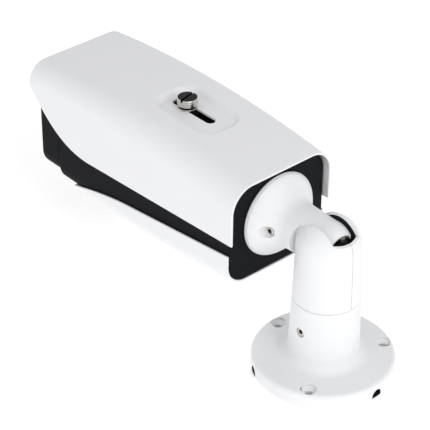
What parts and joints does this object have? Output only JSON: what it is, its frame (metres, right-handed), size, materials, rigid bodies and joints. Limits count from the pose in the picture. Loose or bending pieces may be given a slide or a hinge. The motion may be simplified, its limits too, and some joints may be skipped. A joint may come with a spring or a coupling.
{
  "type": "security camera",
  "caption": "Bullet security camera with a sliding sunshield, on a round-flanged bracket that pans, tilts and rolls.",
  "frame": {"origin": "centre of the flange's mounting face, on the pan axis", "axes": "+Z away from the wall along the post; the lens looks along -Y; the camera's own left is +X"},
  "size_m": [0.09, 0.285, 0.1356],
  "materials": {
    "white_paint": "white powder coat, satin",
    "black_paint": "black fine-texture powder coat, satin",
    "rubber": "matte black rubber",
    "black_steel": "black oxide",
    "steel": "turned stainless steel",
    "alloy": "machined",
    "clear_glass": "polished, smoked",
    "lens_glass": "coated lens",
    "board": "solder mask",
    "led": "moulded lamp"
  },
  "bodies": {
    "base": {"base_flange": "white_paint", "base_gasket": "rubber"},
    "pan_lock": {"pan_lock_screw": "steel"},
    "fork": {"fork_body": "white_paint", "fork_cover": "white_paint", "fork_screw_front": "steel", "fork_screw_rear": "steel", "tilt_pin_left": "steel", "tilt_pin_right": "steel", "pan_o_ring": "rubber"},
    "tilt_lock": {"tilt_lock_screw": "steel"},
    "arm": {"swivel_arm": "white_paint", "tilt_washer_left": "steel", "tilt_washer_right": "steel", "dish_seal": "rubber"},
    "roll_lock": {"roll_lock_screw": "steel"},
    "camera": {"roll_spigot": "alloy", "spigot_screw_1": "steel", "spigot_screw_2": "steel", "spigot_screw_3": "steel", "cable_gland": "rubber", "housing": "black_paint", "lower_cover": "white_paint", "lower_cover_screw_rear": "steel", "lower_cover_screw_front": "steel", "bezel_seal": "rubber", "front_bezel": "black_paint", "bezel_screw_1": "steel", "bezel_screw_2": "steel", "bezel_screw_3": "steel", "bezel_screw_4": "steel", "window_gasket": "rubber", "front_window": "clear_glass", "lens_shroud": "rubber", "ir_board": "board", "ir_led_1": "led", "ir_led_2": "led", "ir_led_3": "led", "ir_led_4": "led", "ir_led_5": "led", "ir_led_6": "led", "lens_barrel": "black_paint", "lens_front_element": "lens_glass", "lens_mount": "black_paint", "image_sensor": "lens_glass", "sensor_board": "board", "chassis": "alloy", "main_board": "board", "network_jack": "steel", "heat_spreader": "alloy"},
    "sunshield": {"sun_shield": "white_paint"},
    "screw_washers": {"flat_washer": "steel", "spring_washer": "black_steel"},
    "thumb_screw": {"shield_screw": "steel"}
  },
  "joints": [
    {"name": "pan", "type": "hinge", "parent": "base", "child": "fork", "pos_m": [0, 0, 0.0533], "axis": [0, 0, 1], "range_deg": [-180, 180]},
    {"name": "tilt", "type": "hinge", "parent": "fork", "child": "arm", "pos_m": [0, 0, 0.0902], "axis": [-1, 0, 0], "range_deg": [0, 90]},
    {"name": "roll", "type": "hinge", "parent": "arm", "child": "camera", "pos_m": [0, -0.045, 0.0902], "axis": [0, 1, 0], "range_deg": [-180, 180]},
    {"name": "shield_slide", "type": "slide", "parent": "camera", "child": "sunshield", "axis": [0, -1, 0], "range_m": [-0.009, 0.021]},
    {"name": "thumb_screw_lift", "type": "slide", "parent": "camera", "child": "screw_washers", "axis": [0, 0, 1], "range_m": [0, 0.0032]},
    {"name": "thumb_screw_turn", "type": "hinge", "parent": "screw_washers", "child": "thumb_screw", "pos_m": [0, -0.1283, 0.1276], "axis": [0, 0, 1], "range_deg": [0, 1440]},
    {"name": "pan_lock_travel", "type": "slide", "parent": "base", "child": "pan_lock", "axis": [1, 0, 0], "range_m": [0, 0.0015]},
    {"name": "tilt_lock_travel", "type": "slide", "parent": "fork", "child": "tilt_lock", "axis": [-1, 0, 0], "range_m": [0, 0.0015]},
    {"name": "roll_lock_travel", "type": "slide", "parent": "arm", "child": "roll_lock", "axis": [1, 0, 0], "range_m": [0, 0.0015]}
  ],
  "couplings": [
    {"joint": "thumb_screw_turn", "follows": "thumb_screw_lift", "rad_per_m": 7854}
  ]
}
